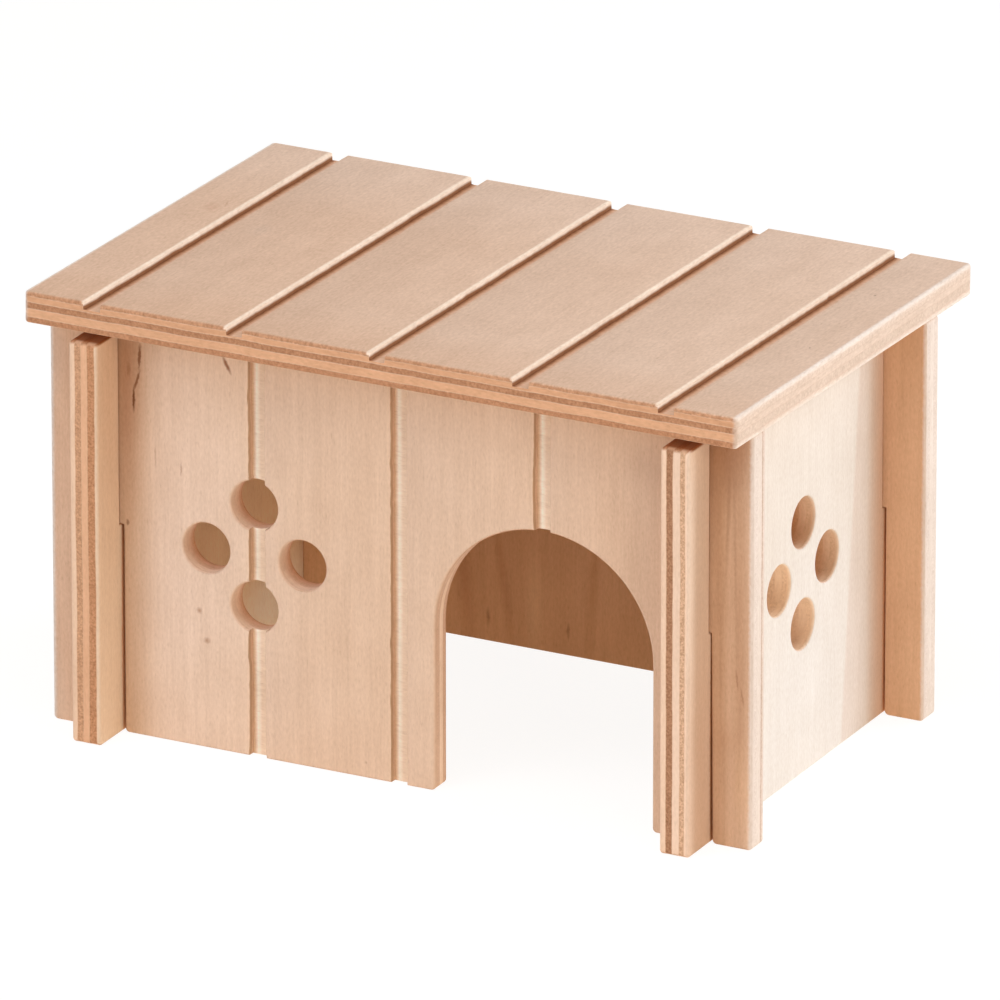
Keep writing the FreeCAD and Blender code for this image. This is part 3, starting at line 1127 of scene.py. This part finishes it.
@dataclass(frozen=True)
class DrawnSteel:
    """Bright drawn wire: drawing leaves fine lines along it, which stretch the highlights, and a thin
    film of oil and dust dulls it in patches."""

    bright: str = "#B9B8B6"
    dull: str = "#7F7B76"
    line_grain: Grain = (12.0, 12.0, 0.4)  # lines in a millimetre of X, Y and Z
    film_grain: float = 1.4
    film_levels: Span = (0.4, 0.7)  # the noise where the film begins, and where it is full
    rough: Span = (0.22, 0.42)
    relief: float = 0.02

    def material(self) -> bpy.types.Material:
        """Makes the material, with the lines along Z.

        Returns:
            The material.
        """
        material, tree = new_material("drawn_steel")
        source = add_node(tree, "TexCoord").outputs["Object"]
        place = add_node(tree, "Mapping", {"Vector": source, "Scale": (1 / MM,) * 3})
        lines = grained(tree, place, self.line_grain, detail=2.0)
        film = add_node(tree, "TexNoise", {"Vector": place, "Scale": self.film_grain, "Detail": 2.0})
        dulled = add_node(tree, "MapRange", (film, *self.film_levels))
        metal = add_node(
            tree, "Mix", {0: dulled, 6: linear(self.bright), 7: linear(self.dull)}, data_type="RGBA"
        )
        rough = add_node(tree, "MapRange", {0: lines, 3: self.rough[0], 4: self.rough[1]})
        bump = add_node(tree, "Bump", {"Height": lines, "Strength": 0.3, "Distance": self.relief * MM})
        shader = add_node(tree, "BsdfPrincipled", {
            "Base Color": metal, "Metallic": 1.0, "Roughness": rough, "Normal": bump,
        })
        add_node(tree, "OutputMaterial", {"Surface": shader})
        return material


def painted_end_highlights(
    half: float, middle: float, colour: str, strength: float, deep: float = 40.0
) -> tuple[Mark, Mark]:
    """Marks that paint a highlight on both sawn ends, for the key light that washes out the lit one, at
    half a board's length and at a middle along W.
    """
    end = Mark(half, 40.0, 1.6, FULL_HEIGHT, strength, colour, w=middle, deep=deep)
    return replace(end, u=-half), end


FACE_PLYWOOD = Plywood(
    name="face_plywood",
    plies=(
        # Plies 2 and 4 run across and show their cut colour only where a surface faces along U; it is kept
        # almost as pale as their faces, partly their own end grain and partly a painted highlight of the
        # key light on the lit right end.
        Ply(0.85, "#E1C2A8", "#C08D68"),
        Ply(1.15, "#E9C9B0", "#E3C1A6"),
        Ply(1.45, "#FBE0C8", "#BC8964"),
        Ply(1.0, "#E2BC9B", "#E0BA9E"),
        Ply(0.55, "#D9AE8B", "#B88761"),
    ),
    routed=RoutedTones(),
    marks=(
        Mark(-69.0, 40.0, 12.0, 110.0, 0.45, "#E0AF87", core=0.6),
        Mark(69.0, 40.0, 12.0, 110.0, 0.4, "#CFA07A", core=0.6),
        # Painted shade on the right ear: dark at its top under the roof, and along its left side beside the
        # post.
        Mark(67.0, 84.0, 12.0, 44.0, 0.95, "#8F5C39", core=0.3, lean=12),
        Mark(65.6, 40.0, 7.0, 400.0, 0.5, "#B88A65", core=0.4),
        Mark(67.3, 62.0, 9.0, 34.0, 0.15, "#B07C55", core=0.1),
        # Painted shade at the top of the right ear, under the roof.
        Mark(71.4, 84.0, 8.0, 34.0, 0.45, "#A26C47", core=0.2),
        Mark(71.2, 36.0, 3.6, 90.0, 0.5, "#B0805C", core=0.3),
        Mark(68.6, 66.0, 0.7, 26.0, 0.35, "#94633F", core=0.1, lean=2),
        Mark(70.1, 58.0, 0.6, 34.0, 0.3, "#94633F", core=0.1, lean=-1),
        Mark(67.2, 34.0, 0.6, 30.0, 0.25, "#94633F", core=0.1),
        Mark(67.8, 21.2, 5.0, 9.0, 0.25, "#B07C55", core=0.0, lean=20),
        Mark(72.0, 12.0, 4.0, 16.0, 0.4, "#EBC29C", core=0.1),
        Mark(53.0, 41.0, 36.0, 170.0, 0.45, "#CEA482", core=0.1),
        # Darker beside the left post: partly a darker strip of veneer, and partly painted shade of the
        # post, deepest under the roof.
        Mark(-59.6, 40.0, 5.0, 130.0, 0.35, "#B98057", core=0.2),
        Mark(-58.0, 35.0, 9.3, 130.0, 0.6, "#C89B6D", core=0.1),
        Mark(-57.5, 40.0, 12.0, FULL_HEIGHT, 0.4, "#B88C60", core=0.35),
        Mark(-57.3, 70.0, 6.5, 50.0, 0.55, "#A5683C", core=0.2),
        # Painted light: paler low down on the left.
        Mark(-48.0, 28.0, 44.0, 90.0, 0.35, "#F2DDCE", core=0.1),
        # A wavy crack under the roof, and a shorter one beside it.
        Mark(-54.7, 76.4, 0.65, 5.4, 0.85, "#7E4A2A", lean=3),
        Mark(-55.3, 71.5, 0.6, 4.6, 0.8, "#7E4A2A", lean=17),
        Mark(-56.0, 67.6, 0.6, 5.0, 0.9, "#6E3D1E"),
        Mark(-57.0, 73.5, 0.8, 3.0, 0.35, "#8A5330"),
        Mark(-36.2, 77.9, 0.85, 3.8, 0.9, "#8A5432", core=0.4, lean=-28),
        Mark(-51.5, 57.0, 0.35, 4.6, 0.3, "#A36B45"),
        Mark(-46.0, 55.3, 0.4, 3.0, 0.45, "#9A6440"),
        Mark(-42.3, 27.5, 1.1, 1.2, 0.75, "#A06C48", core=0.0),
        Mark(-40.7, 21.7, 1.3, 1.1, 0.75, "#A06C48", core=0.0),
        Mark(-57.5, 42.7, 0.7, 1.3, 0.6),
        Mark(-7.0, 3.1, 0.6, 0.6, 0.5, "#8A5330", core=0.0),
        Mark(70.6, 33.7, 0.4, 4.2, 0.45, "#9A6440", lean=-6),
        Mark(71.7, 30.4, 0.4, 3.6, 0.4, "#9A6440", lean=-10),
        # Figure on the inner face.
        Mark(50.0, 38.0, 30.0, 60.0, 0.9, "#FBD2AA", core=0.4, w=-5.0),
        Mark(15.9, 15.0, 2.2, 26.0, 0.3, "#A86A40", core=0.1, lean=8, w=-5.0),
        Mark(9.0, 8.0, 3.4, 22.0, 0.3, "#F4D5B2", core=0.1, w=-5.0),
        Mark(-4.0, 20.0, 2.6, 40.0, 0.3, "#B37A4F", core=0.1, lean=-4, w=-5.0),
        Mark(24.0, 12.0, 4.0, 30.0, 0.35, "#B0744A", core=0.1, lean=5, w=-5.0),
        Mark(18.9, 5.0, 0.8, 3.6, 0.5, "#6E3D1E", core=0.0, w=-5.0),
        Mark(1.7, 5.1, 0.7, 3.0, 0.5, "#6E3D1E", core=0.0, w=-5.0),
        # Painted shade at the top of an ear's inner face, under the roof.
        Mark(-69.0, 84.0, 12.0, 34.0, 0.3, "#A5774A", core=0.1, w=-5.0),
        # Painted highlight on the sawn ends, which the key light washes out on the right.
        *painted_end_highlights(73.8, -2.5, "#E6D8CD", 0.85),
        Mark(73.9, 40.0, 1.6, FULL_HEIGHT, 0.6, "#B98C6C", core=0.3, w=-3.8, deep=0.3),
    ),
    # Less speckle on the upright ends: a painted wash of the key light on the lit right end.
    painted_wash_on_ends=0.9,
)

# Inside a joint the wood is painted warm brown, so that the shade seen through the narrow gap looks brown.
JOINT_BROWN = {"strength": 0.9, "colour": "#F0B080", "core": 0.9}

SIDE_PLYWOOD = Plywood(
    name="side_plywood",
    plies=(
        Ply(0.9, "#EFCFB4", "#C49370"),
        Ply(1.0, "#E1BC9D", "#D3AA89"),
        Ply(1.5, "#EDCFB6", "#BF8F6C"),
        Ply(1.35, "#DFB896", "#AA7C5C"),
        Ply(1.25, "#EFCEB2", "#C08F6B"),
    ),
    figure=((11.0, 120.0, 0.06), (8.0, 11.0, 0.06), (1.6, 40.0, 0.06), (0.5, 12.0, 0.07)),
    pores=(0.28, 1.6, 0.08),
    speckle=(0.42, 0.12, 0.7),
    # The vents' walls darken inwards to a deep brown, painted shade deeper in the hole.
    drilled=("#E6C3A2", "#C4834F"),
    # Painted shade: the side panels' tops lie in the dark gap under the roof.
    upper_end_and_shade="#8F4A0C",
    marks=(
        # The board is tan. The field between the walls that it crosses is painted near white, partly a
        # paler sheet and partly the key light's wash, and paler still low down and at the front edge of the
        # front ear as painted light; the ears keep the tan.
        Mark(0.0, 40.0, 200.0, FULL_HEIGHT, 0.8, "#D9BAA0", core=0.9),
        Mark(-47.6, 40.0, 4.0, FULL_HEIGHT, 0.7, "#F7DEC8", core=0.2),
        Mark(0.0, 40.0, 68.4, FULL_HEIGHT, 1.0, "#E8DED3", core=0.995),
        Mark(0.0, 0.0, 64.0, 90.0, 0.9, "#EAE3DC"),
        # Painted shadows of the back ear: a slanting edge of shade, and the shade next to the ear.
        Mark(45.2, 40.0, 50.0, FULL_HEIGHT, 0.27, "#D2AF98", core=0.97, lean=5.5),
        Mark(34.5, 40.0, 12.0, 220.0, 0.6, "#CF9A70", core=0.3),
        Mark(-45.0, 14.0, 12.0, 66.0, 0.3, "#CF9C76", core=0.4),
        # Painted warm brown inside the joints, which tints the shade seen through the gaps.
        Mark(-36.75, 20.0, 5.0, 90.0, 0.9, "#BE8254", core=0.9),
        Mark(36.75, 20.0, 5.0, 90.0, **JOINT_BROWN),
    ),
)

# The left panel is cut from another sheet. Only its front ear and its inner face are in full view.
LEFT_PLYWOOD = replace(
    SIDE_PLYWOOD,
    name="left_plywood",
    plies=(
        Ply(1.2, "#ECC9AB", "#C49370"),
        Ply(1.3, "#E1BC9D", "#C99975"),
        Ply(1.3, "#E2B28D", "#BF8F6C"),
        Ply(1.55, "#DFB896", "#C08A63"),
        Ply(0.65, "#E5C9AC", "#C08F6B"),
    ),
    speckle=(0.42, 0.12, 0.6),
    marks=(
        # Painted light inside: the inner face is painted pale, with a brighter pool of painted light low
        # down towards the back.
        Mark(0.0, 40.0, 66.0, 400.0, 1.0, "#FFE6C8", core=0.9, w=-6.0),
        Mark(-23.0, 6.0, 30.0, 16.0, 0.8, "#FFF8EE", core=0.4, w=-6.0),
        # Painted shade at the top of the front ear's inner face, under the roof.
        Mark(43.6, 72.0, 14.0, 70.0, 0.35, "#BE8558", core=0.2, w=-6.0),
        Mark(-36.75, 20.0, 5.0, 90.0, w=-6.0, **JOINT_BROWN),
        Mark(36.75, 20.0, 5.0, 90.0, w=-6.0, **JOINT_BROWN),
    ),
)

ROOF_PLYWOOD = Plywood(
    name="roof_plywood",
    plies=(
        # Plies 2 and 4 run across and show their cut colour only where a surface faces along U, on the
        # grooves' sides and the ends; it is paler than their faces, a painted highlight of the key light
        # that strikes those sides.
        Ply(0.9, "#DAB69A", "#C28F6B"),
        Ply(1.1, "#D6A37D", "#E4C6AC"),
        Ply(1.3, "#E5C6AC", "#B5825F"),
        Ply(1.6, "#DBA983", "#D8B89C"),
        Ply(1.3, "#E2C0A4", "#BA8561"),
    ),
    # The roof's grooves: the floor is dark by its left side, partly brown wood and partly painted shadow;
    # the sides and the left lip are painted near white where the key light strikes them, and the sides dark
    # lower down as painted shade.
    routed=RoutedTones(
        floor=((-1.6, "#7F4A27"), (-1.05, "#AE7C58"), (-0.8, "#C8987A"), (-0.35, "#DDB495")),
        side=("#FAE4CE", "#9A6742"),
        left_lip_highlight=(0.9, "#FAE4CE"),
        torn=0.4,
    ),
    upper_end_and_shade="#D0A585",
    # Less speckle on the upright ends: a painted wash of the key light on the lit right end.
    painted_wash_on_ends=0.85,
    speckle=(0.5, 0.2, 0.55),
    figure=((11.0, 120.0, 0.06), (7.0, 9.0, 0.10), (1.6, 30.0, 0.07), (0.6, 8.0, 0.08)),
    marks=(
        Mark(60.0, 48.0, 150.0, 600.0, 1.0, "#DEBEA5", core=0.2, deep=0.25),
        Mark(0.0, 97.0, 400.0, 50.0, 0.8, "#E2C3AB", core=0.3, deep=0.25),
        Mark(0.0, 2.0, 400.0, 24.0, 0.3, "#CFA27F", core=0.2),
        Mark(66.6, 74.2, 0.5, 0.8, 0.5),
        Mark(69.0, 41.8, 0.45, 0.7, 0.45),
        Mark(41.7, 36.2, 0.3, 1.6, 0.25),
        Mark(-66.5, 59.9, 3.0, 5.0, 0.3, "#C08A6C", core=0.0, lean=-30),
        Mark(-65.0, 63.0, 0.5, 4.0, 0.35, "#B07A5C", core=0.2, lean=-20),
        Mark(-52.1, 52.3, 4.0, 6.0, 0.2, "#C9B09E", core=0.0),
        # Painted highlight on the sawn ends, which the key light washes out on the right.
        *painted_end_highlights(74.5, -3.1, "#DFCBBC", 0.6),
        *painted_end_highlights(74.6, 0.0, "#FFF6EC", 0.5, deep=1.0),
        *painted_end_highlights(74.6, -6.2, "#FFF6EC", 0.45, deep=1.0),
    ),
)


# ---------------------------------------------------------------------------------------------
# The house
# ---------------------------------------------------------------------------------------------

RIGHT, BACK, UP = Vector((1, 0, 0)), Vector((0, 1, 0)), Vector((0, 0, 1))


@dataclass(frozen=True)
class Walls:
    """The four walls, held to each other by crossed halving joints."""

    joint_height: float = 42.0
    slot_clearance: float = 0.3
    groove_width: float = 3.4
    groove_depth: float = 1.7
    groove_places: tuple[float, ...] = (-30.0, 0.0, 30.0)
    door_x: float = 30.3
    door_width: float = 45.6
    door_height: float = 56.0
    front_vent_x: float = -30.6
    vent_radius: float = 5.0
    vent_spread: float = 10.2
    # How pale the left, the right, the lower and the upper vent are.
    front_vents_pale: tuple[float, float, float, float] = (0.0, 0.0, 0.1, 0.0)
    right_vents_pale: tuple[float, float, float, float] = (0.8, 0.15, 0.6, 0.0)
    front_seed: int = 100  # its first groove's
    back_seed: int = 200
    slot_shift: float = 0.25  # how far the front's slots lie to the right within their clearance
    slot_spread: float = 0.25  # how far the back's lie outwards within it
    slot_lean: float = 0.38  # how far the front's right slot leans to the left over its height
    back_inner_arris: float = 0.12

    def slots(
        self, placement: Placement, nodes: tuple[str, ...], depth: float, spread: float = 0.0,
        shift: float = 0.0, leans: tuple[float, ...] = (0.0, 0.0),
    ) -> tuple[Notch, ...]:
        """The slots that a board needs for the boards it crosses.

        Args:
            placement: Where the board stands.
            nodes: The boards that cross it.
            depth: How deep the slots are.
            spread: How far they lie outwards from the middle of those boards.
            shift: How far both lie to the right of it.
            leans: How far the end of each lies to the left of its mouth.
        Returns:
            One slot for each.
        """
        notches = []
        for node, lean in zip(nodes, leans):
            low, high = measured(node, placement.u, placement.v)
            centre = (low.x + high.x) / 2
            centre += math.copysign(spread, centre - placement.middle) + shift
            notches.append(Notch(centre, high.x - low.x + 2 * self.slot_clearance, depth, lean=lean))
        return tuple(notches)

    def vents(self, u: float, v: float, pale: tuple[float, float, float, float]) -> tuple[Hole, ...]:
        """Four holes in a diamond.

        Args:
            u: The diamond's middle.
            v: The same.
            pale: How pale the left, the right, the lower and the upper one are.
        Returns:
            The holes.
        """
        diamond, spread = ((-1, 0), (1, 0), (0, -1), (0, 1)), self.vent_spread
        return tuple(
            Hole(u + a * spread, v + b * spread, self.vent_radius, tone)
            for (a, b), tone in zip(diamond, pale)
        )

    def grooves(self, seed: int) -> tuple[Groove, ...]:
        """The grooves of a front or back panel.

        Args:
            seed: The first groove's.
        Returns:
            The grooves, from the left to the right.
        """
        return tuple(
            Groove(u, self.groove_width, self.groove_depth, seed + GROOVE_SEEDS * number)
            for number, u in enumerate(self.groove_places)
        )

    def build(self) -> list[bpy.types.Object]:
        """Builds the front, the back and both side panels.

        Returns:
            The four boards.
        """
        sides = ("left_side_panel", "right_side_panel")
        faces = ("front_panel", "back_panel")
        front = Placement.of_node("front_panel", RIGHT, UP)
        back = Placement.of_node("back_panel", -RIGHT, UP)
        left = Placement.of_node("left_side_panel", -BACK, UP)
        right = Placement.of_node("right_side_panel", BACK, UP)
        vent_height = right.high.y / 2
        face_depth = self.joint_height - front.low.y
        side_depth = right.high.y - self.joint_height
        doorway = Notch(self.door_x, self.door_width, self.door_height, arched=True)
        common = {"body": Body.WALLS, "slot": Slot.WALL_PLYWOOD}
        boards = [
            Board(
                node="front_panel", placement=front, finish=FACE_PLYWOOD, seed=1, **common,
                lower=(doorway, *self.slots(
                    front, sides, face_depth, shift=self.slot_shift, leans=(0.0, self.slot_lean),
                )),
                holes=self.vents(self.front_vent_x, vent_height, self.front_vents_pale),
                grooves=self.grooves(self.front_seed),
            ),
            Board(
                node="back_panel", placement=back, finish=FACE_PLYWOOD, seed=2, **common,
                lower=self.slots(back, sides, face_depth, spread=self.slot_spread),
                grooves=self.grooves(self.back_seed), inner_arris=self.back_inner_arris,
            ),
            Board(
                node="left_side_panel", placement=left, finish=LEFT_PLYWOOD, seed=3, **common,
                upper=self.slots(left, faces, side_depth),
            ),
            Board(
                node="right_side_panel", placement=right, finish=SIDE_PLYWOOD, seed=4, **common,
                upper=self.slots(right, faces, side_depth),
                holes=self.vents(right.middle, vent_height, self.right_vents_pale),
            ),
        ]
        return [board.build() for board in boards]


@dataclass(frozen=True)
class Roof:
    """The lift-off roof: a grooved sheet, and the bradded cleats that keep it in place."""

    groove_width: float = 3.4
    groove_depth: float = 1.7
    groove_lip: float = 0.5
    groove_drop: float = 0.25
    groove_seed: int = 300
    groove_places: tuple[float, ...] = (-60.0, -30.0, 0.0, 30.0, 60.0)

    def slope(self) -> Vector:
        """The roof's fall, from the front panel's inner top edge to the side panels' rear ends."""
        front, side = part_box("front_panel")[1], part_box("right_side_panel")[1]
        return Vector((0, side.y - front.y, side.z - front.z)).normalized()

    def build(self) -> list[bpy.types.Object]:
        """Builds the sheet, and dresses the cleats and the brads.

        Returns:
            The sheet, the cleats and the brads.
        """
        grooves = tuple(
            Groove(
                u, self.groove_width, self.groove_depth, self.groove_seed + GROOVE_SEEDS * number,
                lip=self.groove_lip, lip_drop=self.groove_drop,
            )
            for number, u in enumerate(self.groove_places)
        )
        sheet = Board(
            node="roof_panel", body=Body.ROOF, slot=Slot.ROOF_PLYWOOD, finish=ROOF_PLYWOOD, seed=5,
            placement=Placement.of_node("roof_panel", RIGHT, self.slope()), grooves=grooves,
        )
        pine, steel = PlanedPine().material(), DrawnSteel().material()
        dressed = {"left_roof_cleat": pine, "right_roof_cleat": pine, "cleat_brads": steel}
        pieces = [sheet.build()]
        for node, material in dressed.items():
            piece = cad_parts[node]
            piece.data.materials.clear()
            piece.data.materials.append(material)
            LOG.info("%s: dressed", node)
            pieces.append(piece)
        return pieces


# ---------------------------------------------------------------------------------------------
# The studio
# ---------------------------------------------------------------------------------------------


def direction(azimuth: float, elevation: float) -> Vector:
    """The way to something seen from the house: azimuth 0 is in front, 90 to the right."""
    a, e = math.radians(azimuth), math.radians(elevation)
    return Vector((math.sin(a) * math.cos(e), -math.cos(a) * math.cos(e), math.sin(e)))


@dataclass(frozen=True)
class Camera:
    """A long lens in front of the house, to its right and a little above it."""

    azimuth: float = 27.109
    elevation: float = 20.887
    distance: float = 3.2302
    aim: tuple[float, float, float] = (0.0007, -0.0011, 0.0436)
    focal_pixels: float = 17109.7
    sensor: float = 36.0

    def build(self) -> None:
        """Adds the camera and makes it the scene's."""
        data = bpy.data.cameras.new("camera")
        data.sensor_width = self.sensor
        data.lens = self.focal_pixels * self.sensor / IMAGE_WIDTH
        back = direction(self.azimuth, self.elevation)
        right = UP.cross(back).normalized()
        camera = bpy.data.objects.new("camera", data)
        camera.matrix_world = Matrix((right, back.cross(right), back)).transposed().to_4x4()
        camera.location = Vector(self.aim) + back * self.distance
        bpy.context.scene.collection.objects.link(camera)
        bpy.context.scene.camera = camera


@dataclass(frozen=True)
class Softbox:
    """A lamp with a cloth front, aimed at the house."""

    name: str
    azimuth: float
    elevation: float
    level: float  # what white paper that faces it renders at
    width: float = 0.7
    height: float = 0.7
    distance: float = 1.0
    colour: str = "#FFFFFF"

    def build(self, aim: Vector) -> None:
        """Adds the lamp. A flat lamp of power P gives white paper a level of P / (pi d)^2.

        Args:
            aim: What it points at.
        """
        data = bpy.data.lights.new(self.name, "AREA")
        data.shape = "RECTANGLE"
        data.size, data.size_y = self.width, self.height
        data.energy = self.level * (math.pi * self.distance) ** 2
        data.color = linear(self.colour)[:3]
        lamp = bpy.data.objects.new(self.name, data)
        away = direction(self.azimuth, self.elevation)
        lamp.location = aim + away * self.distance
        lamp.rotation_mode = "QUATERNION"
        lamp.rotation_quaternion = away.to_track_quat("Z", "Y")
        bpy.context.scene.collection.objects.link(lamp)


@dataclass(frozen=True)
class Studio:
    """A white table in an evenly lit white room, with softboxes round it."""

    room_level: float = 0.06
    room_colour: str = "#FFF0DD"
    table_colour: str = "#F2F2F2"
    table_light: float = 0.35  # the light that comes up through the table
    table_light_colour: str = "#FFE9C6"
    table_white: float = 1.03  # just over white, which makes up for the rest's grey
    table_white_share: float = 0.85  # how much of the table the camera sees so; the rest keeps its shadow
    table_side: float = 6.0
    table_gap: float = 0.1 * MM  # between the table and the house
    softboxes: tuple[Softbox, ...] = (
        Softbox("key_softbox", 136, 26, level=0.64, width=0.62, height=0.42, colour="#EEF5FF"),
        Softbox("front_softbox", -35, 32, level=0.32, colour="#E2EAFF"),
        Softbox("fill_softbox", 55, 21, level=0.26, width=0.4, height=0.4, colour="#FFF0DF"),
        Softbox("top_softbox", 0, 70, level=0.54),
    )

    def seen_directly(self, tree: Tree) -> Node:
        """Tells the rays that see a thing as it looks from those that only gather its light.

        Args:
            tree: The tree it goes into.
        Returns:
            1 for rays from the camera, from a glossy surface or through glass, and else 0.
        """
        path = add_node(tree, "LightPath").outputs
        seen = add_node(
            tree, "Math", (path["Is Camera Ray"], path["Is Glossy Ray"]), operation="MAXIMUM"
        )
        return add_node(tree, "Math", (seen, path["Is Transmission Ray"]), operation="MAXIMUM")

    def build_room(self) -> None:
        """The world: an even light, and plain white where it is seen."""
        world = bpy.data.worlds.new("room")
        world.use_nodes = True
        tree = world.node_tree
        tree.nodes.clear()
        light = add_node(tree, "Background", (linear(self.room_colour), self.room_level))
        white = add_node(tree, "Background", ((1, 1, 1, 1), 1.0))
        mix = add_node(tree, "MixShader", (self.seen_directly(tree), light, white))
        add_node(tree, "OutputWorld", (mix,))
        bpy.context.scene.world = world

    def build_table(self) -> None:
        """The table top, a flat square just under the house, which shows white and keeps the house's
        shadow faintly."""
        material, tree = new_material("white_table")
        paper = add_node(tree, "BsdfDiffuse", (linear(self.table_colour),))
        below = add_node(tree, "Emission", (linear(self.table_light_colour), self.table_light))
        paper = add_node(tree, "AddShader", (paper, below))
        white = add_node(tree, "Emission", ((1, 1, 1, 1), self.table_white))
        share = add_node(
            tree, "Math", (self.seen_directly(tree), self.table_white_share), operation="MULTIPLY"
        )
        mix = add_node(tree, "MixShader", (share, paper, white))
        add_node(tree, "OutputMaterial", (mix,))
        half = self.table_side / 2
        corners = np.array([(-half, -half), (half, -half), (half, half), (-half, half)])
        points = np.column_stack((corners, np.full(4, -self.table_gap)))
        table = shown_mesh("white_table", points, [np.arange(4)[None]], crease=30)
        table.data.materials.append(material)
        table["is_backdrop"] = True

    def build(self) -> None:
        """Sets the room, the table and the lamps."""
        self.build_room()
        self.build_table()
        low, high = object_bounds()
        for softbox in self.softboxes:
            softbox.build((low + high) / 2)
        bpy.context.scene.view_settings.view_transform = "Standard"


def main() -> None:
    """Builds the camera, the studio, the walls and the roof."""
    logging.basicConfig(level=logging.INFO, format="%(name)s: %(message)s")
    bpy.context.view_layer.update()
    Camera().build()
    Studio().build()
    pieces = Walls().build() + Roof().build()
    LOG.info("%d pieces shown", len(pieces))


if __name__ == "__main__":
    main()
